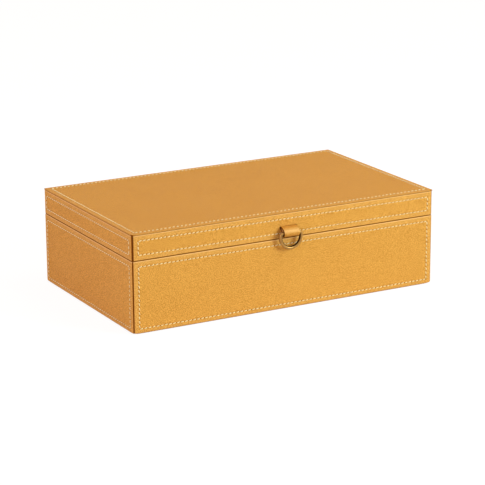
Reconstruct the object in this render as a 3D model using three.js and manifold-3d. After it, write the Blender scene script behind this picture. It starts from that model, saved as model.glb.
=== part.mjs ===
// A leather trunk box for papers and keepsakes. Boards, wrapped in stitched leather panels and lined
// with suede, make a deep base and a shallow lid. Two brass stop hinges join them at the back, and a
// D-ring in a folded leather tab lifts the lid at the front.
// Millimetres, +Z up, the front at -Y, the origin on the ground under the middle of the box.
import * as THREE from 'three';
import Module from 'manifold-3d';
import { mergeVertices } from 'three/addons/utils/BufferGeometryUtils.js';

const wasm = await Module();
wasm.setup();

// The box outside
const box_width = 390;
const box_depth = 235;
const box_height = 114;
const lid_height = 30;
const parting_gap = 0.4;

// Clearances, and how far a cutter runs past the face it cuts
const glue_gap = 0.25;
const running_gap = 0.3;
const overrun = 2;

// Boards
const board_thickness = 6;
const floor_board_thickness = 5;
const top_board_thickness = 5;
const board_rebate = 3;
const corner_housing = 3;

// Leather panels
const leather_thickness = 1.8;
const top_leather_thickness = 1;
const rim_leather_thickness = 1.2;
const turn_under_thickness = 1.5;
const turn_under_depth = 9;
const base_turn_in_depth = 9;
const lid_turn_in_depth = 8;
const foot_clearance = 0.4;
const foot_round = 3;
const rim_round = 1.1;
const rim_inner_round = 0.7;
const lid_edge_round = 0.8;
const top_edge_round = 0.4;
const top_corner_round = 1.6;
const base_seam = 0.5;
const lid_seam = 0.8;
const base_corner_round = 0.9;
const lid_corner_round = 1.1;

// Sunken lines for the stitches, each at its distance from the panel's edge
const stitch_line_width = 1.4;
const stitch_line_depth = 0.3;
const foot_line_rise = 6.1;
const base_rim_line_drop = 6.7;
const lid_rim_line_rise = 6.1;
const lid_head_line_drop = 6.4;
const corner_line_inset = 7.5;
const top_line_inset = 6.6;

// Suede linings and the felt underneath
const lining_thickness = 1;
const floor_lining_thickness = 1.5;
const top_lining_thickness = 1.5;
const lining_seam = 0.5;
const felt_margin = 1;
const felt_corner_round = 4;

// Stop hinges
const hinge_inset = 75;
const hinge_length = 38;
const knuckle_count = 5;
const knuckle_radius = 2.6;
const pin_out = 3.4;
const pin_radius = 1.1;
const pin_head_radius = 1.9;
const pin_head_height = 1.1;
const pin_clearance = 0.2;
const leaf_thickness = 1.6;
const leaf_reach = 7.8;
const leaf_corner_round = 1.2;
const tail_radius = 5;
const open_angle = 95;
const stop_slack_angle = 0.5;
const knuckle_bite_share = 0.7;

// Countersunk screws
const screws_per_leaf = 3;
const screw_end_inset = 6;
const screw_head_radius = 1.9;
const screw_head_height = 1.1;
const screw_shank_radius = 0.9;
const screw_length = 9;
const screw_tip_length = 2;
const screw_sink = 0.1;
const screw_slot_width = 0.5;
const screw_slot_depth = 0.5;

// Pull tab and ring
const tab_width = 20;
const tab_strap_thickness = 1.5;
const slit_rise = 12.5;
const slit_corner_round = 1;
const tab_tail_rise = 7.5;
const bar_out = 6;
const bar_drop = 5.5;
const bar_clearance = 0.4;
const wire_diameter = 4;
const ring_width = 30.3;
const ring_height = 21.3;
const ring_corner_radius = 3;
const ring_split = 0.4;

// Facets
const arc_steps = 2;
const loop_steps = 6;
const barrel_sides = 24;
const screw_sides = 14;
const wire_sides_half = 6;
const wire_step = 1.6;

// Depths from the outer leather face into a wall
const board_outer = leather_thickness + glue_gap;
const board_inner = board_outer + board_thickness;
const lining_outer = board_inner + glue_gap;
const lining_inner = lining_outer + lining_thickness;

// Levels of the base
const parting_z = box_height - lid_height;
const base_rim_z = parting_z - parting_gap / 2;
const turn_under_top_z = foot_clearance + turn_under_thickness;
const base_board_low_z = turn_under_top_z + glue_gap;
const base_board_high_z = base_rim_z - rim_leather_thickness - glue_gap;
const floor_board_top_z = base_board_low_z + floor_board_thickness;
const floor_lining_low_z = floor_board_top_z + glue_gap;
const floor_lining_top_z = floor_lining_low_z + floor_lining_thickness;
const base_turn_in_z = base_rim_z - base_turn_in_depth;

// Levels of the lid
const lid_rim_z = parting_z + parting_gap / 2;
const lid_board_low_z = lid_rim_z + rim_leather_thickness + glue_gap;
const lid_board_high_z = box_height - top_leather_thickness - glue_gap;
const top_board_low_z = lid_board_high_z - top_board_thickness;
const top_lining_low_z = top_board_low_z - glue_gap - top_lining_thickness;
const lid_turn_in_z = lid_rim_z + lid_turn_in_depth;

// Places along the box, from its middle
const hinge_offset = box_width / 2 - hinge_inset;

// Places of the tab and the ring, in depth from the lid's front face and in height
const slit_z = parting_z + slit_rise;
const bar_z = slit_z - bar_drop;
const wire_radius = wire_diameter / 2;
const loop_inner_radius = wire_radius + bar_clearance;
const loop_outer_radius = loop_inner_radius + tab_strap_thickness;
const tail_front = leather_thickness + glue_gap;
const tail_back = tail_front + 2 * tab_strap_thickness;

const leather = new THREE.MeshStandardMaterial({ color: 0xd99a46, roughness: 0.55 });
const board = new THREE.MeshStandardMaterial({ color: 0xc8a878, roughness: 0.8 });
const suede = new THREE.MeshStandardMaterial({ color: 0x8a6748, roughness: 0.95 });
const felt = new THREE.MeshStandardMaterial({ color: 0x4a3a2c, roughness: 1 });
const brass = new THREE.MeshStandardMaterial({ color: 0x8a6a35, roughness: 0.35, metalness: 1 });

// A three.js geometry as a solid that can be joined and cut
function solid(geometry) {
  geometry.deleteAttribute('normal');
  geometry.deleteAttribute('uv');
  const merged = mergeVertices(geometry);
  return new wasm.Manifold(new wasm.Mesh({
    numProp: 3,
    vertProperties: merged.attributes.position.array,
    triVerts: Uint32Array.from(merged.index.array),
  }));
}

// A solid as a named mesh
function piece(name, shape, material) {
  const { vertProperties, triVerts } = shape.getMesh();
  const geometry = new THREE.BufferGeometry();
  geometry.setAttribute('position', new THREE.BufferAttribute(vertProperties, 3));
  geometry.setIndex(new THREE.BufferAttribute(triVerts, 1));
  geometry.computeVertexNormals();
  const mesh = new THREE.Mesh(geometry, material);
  mesh.name = name;
  return mesh;
}

// A closed outline through corners [x, y, radius], rounded where a radius is given
function outline(corners) {
  const shape = new THREE.Shape();
  const at = (i) => new THREE.Vector2(...corners[(i + corners.length) % corners.length]);
  corners.forEach(([x, y, radius = 0], i) => {
    if (radius === 0) {
      if (i === 0) shape.moveTo(x, y);
      else shape.lineTo(x, y);
      return;
    }
    const corner = at(i);
    const back = at(i - 1).sub(corner).normalize();
    const ahead = at(i + 1).sub(corner).normalize();
    const half = Math.acos(back.dot(ahead)) / 2;
    const start = corner.clone().addScaledVector(back, radius / Math.tan(half));
    const end = corner.clone().addScaledVector(ahead, radius / Math.tan(half));
    const inward = back.clone().add(ahead).normalize();
    const centre = corner.clone().addScaledVector(inward, radius / Math.sin(half));
    const turn = (point) => Math.atan2(point.y - centre.y, point.x - centre.x);
    if (i === 0) shape.moveTo(start.x, start.y);
    shape.absarc(centre.x, centre.y, radius, turn(start), turn(end), back.cross(ahead) > 0);
  });
  shape.closePath();
  return shape;
}

// An outline drawn in x and y, raised from one level to another
function upright(shape, low, high, steps = arc_steps) {
  const geometry = new THREE.ExtrudeGeometry(shape, {
    depth: high - low, bevelEnabled: false, curveSegments: steps,
  });
  return solid(geometry.translate(0, 0, low));
}

// An outline drawn in y and z, run along x with its middle at x = middle
function along_x(shape, length, middle = 0, steps = arc_steps) {
  const geometry = new THREE.ExtrudeGeometry(shape, {
    depth: length, bevelEnabled: false, curveSegments: steps,
  });
  const yzx = new THREE.Matrix4().makeBasis(
    new THREE.Vector3(0, 1, 0),
    new THREE.Vector3(0, 0, 1),
    new THREE.Vector3(1, 0, 0),
  );
  return solid(geometry.applyMatrix4(yzx).translate(middle - length / 2, 0, 0));
}

// A block between two opposite corners
function block([x0, y0, z0], [x1, y1, z1]) {
  const geometry = new THREE.BoxGeometry(x1 - x0, y1 - y0, z1 - z0);
  return solid(geometry.translate((x0 + x1) / 2, (y0 + y1) / 2, (z0 + z1) / 2));
}

// A round bar along x, with its middle at x = middle
function bar_along_x(radius, length, middle) {
  const geometry = new THREE.CylinderGeometry(radius, radius, length, barrel_sides);
  return solid(geometry.rotateZ(Math.PI / 2).translate(middle, 0, 0));
}

// The plan of a wall piece whose ends are mitred at 45 degrees, half a seam back from the diagonal
function mitred_plan(length, from_y, to_y, seam, corner_round = 0) {
  const half = length / 2 - seam * Math.SQRT1_2;
  return outline([
    [from_y - half, from_y, corner_round],
    [half - from_y, from_y, corner_round],
    [half - to_y, to_y],
    [to_y - half, to_y],
  ]);
}

// A wall's own frame: x runs along the wall, y goes in from the outer leather face, z is up
const walls = {
  front: { length: box_width, turn: 0, place: [0, -box_depth / 2, 0] },
  right: { length: box_depth, turn: Math.PI / 2, place: [box_width / 2, 0, 0] },
  back: { length: box_width, turn: Math.PI, place: [0, box_depth / 2, 0] },
  left: { length: box_depth, turn: -Math.PI / 2, place: [-box_width / 2, 0, 0] },
};

function wall_frame({ turn, place }) {
  const frame = new THREE.Group();
  frame.rotation.z = turn;
  frame.position.set(...place);
  return frame;
}

// A sunken line round a rectangle between two corners, with the leather's outer face at z = 0
function sunken_line([x0, y0], [x1, y1]) {
  const half = stitch_line_width / 2;
  const outer = block([x0 - half, y0 - half, -stitch_line_depth], [x1 + half, y1 + half, overrun]);
  return outer.subtract(block([x0 + half, y0 + half, -overrun], [x1 - half, y1 - half, 2 * overrun]));
}

// A wall's sunken line stands upright in the wall's outer face
function wall_line(length, low, high) {
  const half = length / 2 - corner_line_inset;
  return sunken_line([-half, low], [half, high]).rotate([90, 0, 0]);
}

// The base's leather turns under the box at the foot and over the rim into the inside
function base_leather(length) {
  const rim_under_z = base_rim_z - rim_leather_thickness;
  const section = outline([
    [0, foot_clearance, foot_round],
    [turn_under_depth, foot_clearance],
    [turn_under_depth, turn_under_top_z],
    [leather_thickness, turn_under_top_z],
    [leather_thickness, rim_under_z],
    [lining_outer, rim_under_z],
    [lining_outer, base_turn_in_z],
    [lining_inner, base_turn_in_z],
    [lining_inner, base_rim_z, rim_inner_round],
    [0, base_rim_z, rim_round],
  ]);
  const plan = mitred_plan(length, 0, lining_inner + overrun, base_seam, base_corner_round);
  const line = wall_line(length, foot_clearance + foot_line_rise, base_rim_z - base_rim_line_drop);
  return along_x(section, length).intersect(upright(plan, 0, base_rim_z + overrun)).subtract(line);
}

// The lid's side leather turns over the rim into the inside and ends under the top leather
function lid_leather(length) {
  const rim_over_z = lid_rim_z + rim_leather_thickness;
  const section = outline([
    [0, lid_rim_z, rim_round],
    [lining_inner, lid_rim_z, rim_inner_round],
    [lining_inner, lid_turn_in_z],
    [lining_outer, lid_turn_in_z],
    [lining_outer, rim_over_z],
    [leather_thickness, rim_over_z],
    [leather_thickness, lid_board_high_z],
    [0, lid_board_high_z, lid_edge_round],
  ]);
  const plan = mitred_plan(length, 0, lining_inner + overrun, lid_seam, lid_corner_round);
  const line = wall_line(length, lid_rim_z + lid_rim_line_rise, lid_board_high_z - lid_head_line_drop);
  const wall = along_x(section, length).intersect(upright(plan, lid_rim_z - overrun, box_height));
  return wall.subtract(line);
}

// The top leather is one panel with rounded edges that lies on the four sides
function top_leather() {
  const half_x = box_width / 2 - top_edge_round;
  const half_y = box_depth / 2 - top_edge_round;
  const corner = top_corner_round - top_edge_round;
  const shape = outline([
    [-half_x, -half_y, corner],
    [half_x, -half_y, corner],
    [half_x, half_y, corner],
    [-half_x, half_y, corner],
  ]);
  const geometry = new THREE.ExtrudeGeometry(shape, {
    depth: top_leather_thickness - 2 * top_edge_round,
    curveSegments: arc_steps,
    bevelSize: top_edge_round,
    bevelThickness: top_edge_round,
    bevelSegments: 2 * arc_steps,
  });
  const low_z = box_height - top_leather_thickness;
  const line_x = box_width / 2 - top_line_inset;
  const line_y = box_depth / 2 - top_line_inset;
  const line = sunken_line([-line_x, -line_y], [line_x, line_y]).translate(0, 0, box_height);
  return solid(geometry.translate(0, 0, low_z + top_edge_round)).subtract(line);
}

// Front and back boards are housed at their ends, so that the side boards sit in them
function long_board_plan(length) {
  const end = length / 2 - board_outer;
  const housing = length / 2 - board_inner - glue_gap;
  const tongue = board_inner - corner_housing;
  return outline([
    [-end, board_outer],
    [end, board_outer],
    [end, tongue],
    [housing, tongue],
    [housing, board_inner],
    [-housing, board_inner],
    [-housing, tongue],
    [-end, tongue],
  ]);
}

function short_board_plan(length) {
  const end = length / 2 - board_inner + corner_housing - glue_gap;
  return outline([
    [-end, board_outer],
    [end, board_outer],
    [end, board_inner],
    [-end, board_inner],
  ]);
}

function board_plan(side) {
  const long = side === 'front' || side === 'back';
  return long ? long_board_plan(walls[side].length) : short_board_plan(walls[side].length);
}

// A base board is rebated at its foot for the floor board
function base_board(side) {
  const section = outline([
    [board_outer, base_board_low_z],
    [board_inner - board_rebate, base_board_low_z],
    [board_inner - board_rebate, floor_lining_low_z],
    [board_inner, floor_lining_low_z],
    [board_inner, base_board_high_z],
    [board_outer, base_board_high_z],
  ]);
  return along_x(section, box_width).intersect(upright(board_plan(side), 0, base_rim_z));
}

// A lid board is rebated at its head for the top board
function lid_board(side) {
  const section = outline([
    [board_outer, lid_board_low_z],
    [board_inner, lid_board_low_z],
    [board_inner, top_board_low_z - glue_gap],
    [board_inner - board_rebate, top_board_low_z - glue_gap],
    [board_inner - board_rebate, lid_board_high_z],
    [board_outer, lid_board_high_z],
  ]);
  return along_x(section, box_width).intersect(upright(board_plan(side), lid_rim_z, box_height));
}

// A sheet between two levels whose edge keeps a distance from the outer faces
function sheet(edge, low, high, corner_round = 0) {
  const half_x = box_width / 2 - edge;
  const half_y = box_depth / 2 - edge;
  return upright(outline([
    [-half_x, -half_y, corner_round],
    [half_x, -half_y, corner_round],
    [half_x, half_y, corner_round],
    [-half_x, half_y, corner_round],
  ]), low, high);
}

function wall_lining(length, low, high) {
  return upright(mitred_plan(length, lining_outer, lining_inner, lining_seam), low, high);
}

// The recess that lets a hinge leaf lie flush in the rim. up is 1 for the lid and -1 for the base
function leaf_recess(middle, up) {
  const rim = up * parting_gap / 2;
  const bottom = rim + up * (leaf_thickness + running_gap);
  const mouth = rim - up * overrun;
  const half = hinge_length / 2 + running_gap;
  return block(
    [middle - half, -overrun, parting_z + Math.min(bottom, mouth)],
    [middle + half, leaf_reach + running_gap, parting_z + Math.max(bottom, mouth)],
  );
}

// Places along a hinge
const screw_pitch = (hinge_length - 2 * screw_end_inset) / (screws_per_leaf - 1);
const screw_xs = Array.from({ length: screws_per_leaf },
  (_, i) => (i - (screws_per_leaf - 1) / 2) * screw_pitch);
const knuckle_length = (hinge_length + running_gap) / knuckle_count - running_gap;
const knuckle_x = (i) => (i - (knuckle_count - 1) / 2) * (knuckle_length + running_gap);
const screw_depth = board_outer + board_thickness / 2;

// A countersunk slotted screw along z with its head up and its top face at z = 0
function screw() {
  const profile = [
    [0, -screw_length],
    [screw_shank_radius, screw_tip_length - screw_length],
    [screw_shank_radius, -screw_head_height],
    [screw_head_radius, 0],
    [0, 0],
  ].map(([x, y]) => new THREE.Vector2(x, y));
  const body = solid(new THREE.LatheGeometry(profile, screw_sides).rotateX(Math.PI / 2));
  const slot = block(
    [-screw_head_radius - overrun, -screw_slot_width / 2, -screw_slot_depth],
    [screw_head_radius + overrun, screw_slot_width / 2, overrun],
  );
  return body.subtract(slot);
}

// The room that a screw needs, with its head face at z = 0
function screw_hole() {
  const room = running_gap;
  const profile = [
    [0, -screw_length - room],
    [screw_shank_radius + room, -screw_length - room],
    [screw_shank_radius + room, -screw_head_height - room],
    [screw_head_radius + room, 0],
    [screw_head_radius + room, overrun],
    [0, overrun],
  ].map(([x, y]) => new THREE.Vector2(x, y));
  return new THREE.LatheGeometry(profile, screw_sides).rotateX(Math.PI / 2);
}

// The screw holes of one leaf, round screws whose heads face the parting plane
function screw_holes(middle, y, plane_z, up) {
  const turn = up > 0 ? Math.PI : 0;
  const holes = screw_xs.map((x) => {
    const z = plane_z + up * (parting_gap / 2 + screw_sink);
    return solid(screw_hole().rotateX(turn).translate(middle + x, y, z));
  });
  return holes.reduce((all, hole) => all.add(hole));
}

// The section of a stop tail: a part of a ring round the pin, whose flat face stops the lid
function tail_section(inner_radius, up) {
  const face = up * THREE.MathUtils.degToRad(open_angle / 2 + stop_slack_angle);
  const rear = up * Math.PI / 2;
  const shape = new THREE.Shape();
  shape.moveTo(inner_radius * Math.cos(face), inner_radius * Math.sin(face));
  shape.absarc(0, 0, tail_radius, face, rear, up < 0);
  shape.absarc(0, 0, inner_radius, rear, face, up > 0);
  shape.closePath();
  return shape;
}

// A hinge leaf with its plate flush with the rim, its knuckles round the pin and its stop tail.
// The pin's axis is x, and the box lies towards -y. The base leaf has the first knuckle
function hinge_leaf(up) {
  const plate_near = up * parting_gap / 2;
  const plate_far = plate_near + up * leaf_thickness;
  const low = Math.min(plate_near, plate_far);
  const high = Math.max(plate_near, plate_far);
  const clear_radius = knuckle_radius + running_gap;
  const tip = -(pin_out + leaf_reach);
  const half = hinge_length / 2;
  let leaf = upright(outline([
    [-half, tip, leaf_corner_round],
    [half, tip, leaf_corner_round],
    [half, -clear_radius],
    [-half, -clear_radius],
  ]), low, high);
  leaf = leaf.add(along_x(tail_section(clear_radius, up), hinge_length, 0, loop_steps));
  for (let i = up > 0 ? 1 : 0; i < knuckle_count; i += 2) {
    const x = knuckle_x(i);
    const web = block(
      [x - knuckle_length / 2, -clear_radius - leaf_corner_round, low],
      [x + knuckle_length / 2, 0, high],
    );
    const root = tail_section(knuckle_bite_share * knuckle_radius, up);
    leaf = leaf.add(bar_along_x(knuckle_radius, knuckle_length, x)).add(web);
    leaf = leaf.add(along_x(root, knuckle_length, x, loop_steps));
  }
  const bore = bar_along_x(pin_radius + pin_clearance, hinge_length + 2 * overrun, 0);
  return leaf.subtract(bore).subtract(screw_holes(0, -(pin_out + screw_depth), 0, up));
}

// The pin with a low round head at each end
function hinge_pin() {
  const head_x = hinge_length / 2 + running_gap;
  const profile = [
    [0, -head_x - pin_head_height],
    [pin_head_radius / 2, -head_x - pin_head_height],
    [pin_head_radius, -head_x - pin_head_height / 2],
    [pin_head_radius, -head_x],
    [pin_radius, -head_x],
    [pin_radius, head_x],
    [pin_head_radius, head_x],
    [pin_head_radius, head_x + pin_head_height / 2],
    [pin_head_radius / 2, head_x + pin_head_height],
    [0, head_x + pin_head_height],
  ].map(([x, y]) => new THREE.Vector2(x, y));
  return solid(new THREE.LatheGeometry(profile, barrel_sides).rotateZ(Math.PI / 2));
}

// The tab is one strap folded round the ring's bar. Its two ends lie together behind the leather
function pull_tab() {
  const strap = tab_strap_thickness;
  const front = -bar_out - loop_outer_radius;
  const rear = -bar_out + loop_outer_radius;
  const head_z = slit_z + strap;
  const sole_z = slit_z - strap;
  const shape = new THREE.Shape();
  shape.moveTo(tail_front, slit_z + tab_tail_rise);
  shape.lineTo(tail_front, head_z);
  shape.lineTo(0, head_z);
  shape.bezierCurveTo(front / 2, head_z, front, (head_z + bar_z) / 2, front, bar_z);
  shape.absarc(-bar_out, bar_z, loop_outer_radius, Math.PI, 2 * Math.PI, false);
  shape.bezierCurveTo(rear, (sole_z + bar_z) / 2, rear / 2, sole_z, 0, sole_z);
  shape.lineTo(tail_back - strap, sole_z);
  shape.absarc(tail_back - strap, slit_z, strap, -Math.PI / 2, 0, false);
  shape.lineTo(tail_back, slit_z + tab_tail_rise);
  shape.closePath();

  const inner_front = -bar_out - loop_inner_radius;
  const inner_rear = -bar_out + loop_inner_radius;
  const fold = new THREE.Path();
  fold.moveTo(-strap / 2, slit_z);
  fold.bezierCurveTo(inner_front / 2, slit_z, inner_front, (slit_z + bar_z) / 2, inner_front, bar_z);
  fold.absarc(-bar_out, bar_z, loop_inner_radius, Math.PI, 2 * Math.PI, false);
  fold.bezierCurveTo(inner_rear, (slit_z + bar_z) / 2, inner_rear / 2, slit_z, -strap / 2, slit_z);
  shape.holes.push(fold);
  return along_x(shape, tab_width, 0, loop_steps);
}

// The slit that the tab comes out of, through the lid's front leather
function tab_slit() {
  const half_x = tab_width / 2 + running_gap;
  const half_z = tab_strap_thickness + running_gap;
  const shape = outline([
    [-half_x, slit_z - half_z, slit_corner_round],
    [half_x, slit_z - half_z, slit_corner_round],
    [half_x, slit_z + half_z, slit_corner_round],
    [-half_x, slit_z + half_z, slit_corner_round],
  ]);
  const depth = board_outer + overrun;
  const geometry = new THREE.ExtrudeGeometry(shape, {
    depth, bevelEnabled: false, curveSegments: arc_steps,
  });
  return solid(geometry.rotateX(Math.PI / 2).translate(0, board_outer, 0));
}

// The pocket in the lid's front board for the tab's two ends
function tab_pocket() {
  const half_x = tab_width / 2 + running_gap;
  return block(
    [-half_x, board_outer - overrun, slit_z - tab_strap_thickness - running_gap],
    [half_x, tail_back + running_gap, slit_z + tab_tail_rise + running_gap],
  );
}

// The line of the ring's wire in x and z, from one side of the split in its bar to the other
class RingLine extends THREE.Curve {
  constructor() {
    super();
    const radius = ring_width / 2 - wire_radius;
    const centre_z = radius - (ring_height - wire_diameter);
    const inner = radius - ring_corner_radius;
    const corner_z = -ring_corner_radius;
    const corner_x = Math.sqrt(inner ** 2 - (centre_z - corner_z) ** 2);
    const turn = Math.atan2(corner_z - centre_z, corner_x);
    this.path = new THREE.Path();
    this.path.moveTo(ring_split / 2, 0);
    this.path.lineTo(corner_x, 0);
    this.path.absarc(corner_x, corner_z, ring_corner_radius, Math.PI / 2, turn, true);
    this.path.absarc(0, centre_z, radius, turn, Math.PI - turn, true);
    this.path.absarc(-corner_x, corner_z, ring_corner_radius, Math.PI - turn, Math.PI / 2, true);
    this.path.lineTo(-ring_split / 2, 0);
  }

  getPoint(t, target = new THREE.Vector3()) {
    const { x, y } = this.path.getPoint(t);
    return target.set(x, 0, y);
  }
}

function pull_ring() {
  const line = new RingLine();
  const wire = new THREE.Shape().absarc(0, 0, wire_radius, 0, 2 * Math.PI, false);
  return solid(new THREE.ExtrudeGeometry(wire, {
    extrudePath: line,
    steps: Math.round(line.path.getLength() / wire_step),
    curveSegments: wire_sides_half,
  }));
}

// The walls of the base and the lid, each wall in its own frame
const base = new THREE.Group();
const lid = new THREE.Group();
const base_lining_low_z = floor_lining_top_z + glue_gap;
const base_lining_high_z = base_turn_in_z - glue_gap;
const lid_lining_low_z = lid_turn_in_z + glue_gap;
const lid_lining_high_z = top_lining_low_z - glue_gap;
for (const [side, wall] of Object.entries(walls)) {
  const base_wall = wall_frame(wall);
  const lid_wall = wall_frame(wall);
  let base_skin = base_leather(wall.length);
  let base_core = base_board(side);
  let lid_skin = lid_leather(wall.length);
  let lid_core = lid_board(side);
  if (side === 'back') {
    for (const middle of [-hinge_offset, hinge_offset]) {
      const base_holes = screw_holes(middle, screw_depth, parting_z, -1);
      const lid_holes = screw_holes(middle, screw_depth, parting_z, 1);
      base_skin = base_skin.subtract(leaf_recess(middle, -1));
      base_core = base_core.subtract(leaf_recess(middle, -1)).subtract(base_holes);
      lid_skin = lid_skin.subtract(leaf_recess(middle, 1));
      lid_core = lid_core.subtract(leaf_recess(middle, 1)).subtract(lid_holes);
    }
  }
  if (side === 'front') {
    lid_skin = lid_skin.subtract(tab_slit());
    lid_core = lid_core.subtract(tab_pocket());
    lid_wall.add(piece('pull_tab', pull_tab(), leather));
  }
  const base_suede = wall_lining(wall.length, base_lining_low_z, base_lining_high_z);
  const lid_suede = wall_lining(wall.length, lid_lining_low_z, lid_lining_high_z);
  base_wall.add(piece(`base_${side}_board`, base_core, board));
  base_wall.add(piece(`base_${side}_leather`, base_skin, leather));
  base_wall.add(piece(`base_${side}_lining`, base_suede, suede));
  lid_wall.add(piece(`lid_${side}_board`, lid_core, board));
  lid_wall.add(piece(`lid_${side}_leather`, lid_skin, leather));
  lid_wall.add(piece(`lid_${side}_lining`, lid_suede, suede));
  base.add(base_wall);
  lid.add(lid_wall);
}

// The flat pieces of the base and the lid
const rebate_edge = board_inner - board_rebate + glue_gap;
const floor_board = sheet(rebate_edge, base_board_low_z, floor_board_top_z);
const floor_suede = sheet(lining_outer, floor_lining_low_z, floor_lining_top_z);
const underside = sheet(turn_under_depth + felt_margin, 0, turn_under_top_z, felt_corner_round);
const top_board = sheet(rebate_edge, top_board_low_z, lid_board_high_z);
const top_suede = sheet(lining_outer, top_lining_low_z, top_board_low_z - glue_gap);
base.add(piece('base_floor_board', floor_board, board));
base.add(piece('base_floor_lining', floor_suede, suede));
base.add(piece('base_underside_felt', underside, felt));
lid.add(piece('lid_top_board', top_board, board));
lid.add(piece('lid_top_lining', top_suede, suede));
lid.add(piece('lid_top_leather', top_leather(), leather));

// The two hinges, with the pin's axis just outside the back at the parting plane
for (const [side, middle] of [['left', -hinge_offset], ['right', hinge_offset]]) {
  for (const [half, up, carrier] of [['base', -1, base], ['lid', 1, lid]]) {
    const hinge = new THREE.Group();
    hinge.position.set(middle, box_depth / 2 + pin_out, parting_z);
    hinge.add(piece(`hinge_${side}_${half}_leaf`, hinge_leaf(up), brass));
    if (half === 'base') hinge.add(piece(`hinge_${side}_pin`, hinge_pin(), brass));
    screw_xs.forEach((x, i) => {
      const fastener = piece(`hinge_${side}_${half}_screw_${i + 1}`, screw(), brass);
      fastener.rotation.x = up > 0 ? Math.PI : 0;
      fastener.position.set(x, -(pin_out + screw_depth), up * (parting_gap / 2 + screw_sink));
      hinge.add(fastener);
    });
    carrier.add(hinge);
  }
}

const ring = piece('pull_ring', pull_ring(), brass);
ring.position.set(0, -box_depth / 2 - bar_out, bar_z);

const trunk_box = new THREE.Group();
trunk_box.add(base, lid, ring);

export default trunk_box;
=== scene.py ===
import math

import bmesh
import bpy
import numpy as np
from mathutils import Matrix, Vector


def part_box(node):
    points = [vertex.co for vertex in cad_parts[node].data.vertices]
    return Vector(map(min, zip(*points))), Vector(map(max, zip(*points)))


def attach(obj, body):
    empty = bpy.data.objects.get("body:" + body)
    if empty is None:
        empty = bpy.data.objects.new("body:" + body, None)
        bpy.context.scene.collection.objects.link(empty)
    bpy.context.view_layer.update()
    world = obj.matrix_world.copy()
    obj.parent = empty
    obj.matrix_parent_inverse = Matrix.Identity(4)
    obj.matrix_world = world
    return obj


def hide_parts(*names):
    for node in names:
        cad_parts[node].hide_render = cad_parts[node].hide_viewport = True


bl_info = {
    "name": "Leather Trunk Box",
    "version": (1, 0, 0),
    "blender": (4, 5, 0),
    "location": "View3D > Sidebar > Trunk Box",
    "description": "Dresses a leather trunk box in panels, stitching, linings and brass",
    "category": "Object",
}

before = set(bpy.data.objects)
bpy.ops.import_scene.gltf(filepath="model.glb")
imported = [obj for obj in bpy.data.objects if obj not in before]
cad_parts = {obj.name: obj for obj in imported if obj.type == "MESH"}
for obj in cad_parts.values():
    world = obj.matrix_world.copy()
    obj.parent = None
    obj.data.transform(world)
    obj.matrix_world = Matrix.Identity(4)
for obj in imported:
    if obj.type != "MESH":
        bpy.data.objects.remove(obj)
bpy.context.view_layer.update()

# The box as packed
TOP_LOW, TOP_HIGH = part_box("lid_top_leather")
WIDTH = TOP_HIGH.x - TOP_LOW.x
DEPTH = TOP_HIGH.y - TOP_LOW.y
HEIGHT = TOP_HIGH.z
TAB_LOW, TAB_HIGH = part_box("pull_tab")
RING_LOW, RING_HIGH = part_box("pull_ring")

# Each wall's turn about Z and the direction from the middle of the box to its outer face
WALLS = {
    "front": (0, Vector((0, -1, 0))),
    "right": (math.pi / 2, Vector((1, 0, 0))),
    "back": (math.pi, Vector((0, 1, 0))),
    "left": (-math.pi / 2, Vector((-1, 0, 0))),
}
HALVES = ("base", "lid")
HINGES = ("left", "right")

QUARTER = math.pi / 2
ROOT_TWO = math.sqrt(2)

# The angle between two faces from which their edge is sharp
SHARP = math.radians(40)

# Points round the mitred end of a panel
MITRE_POINTS = 7

# A place on the stitch map that is far from every row, in pitches
FAR = 100.0


def length(name, description, default):
    """A size that the panel shows, in metres."""
    return bpy.props.FloatProperty(
        name=name, description=description, default=default, min=0, unit="LENGTH", precision=4
    )


def colour(name, description, default):
    return bpy.props.FloatVectorProperty(
        name=name, description=description, default=default, size=3, subtype="COLOR", min=0, max=1
    )


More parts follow.
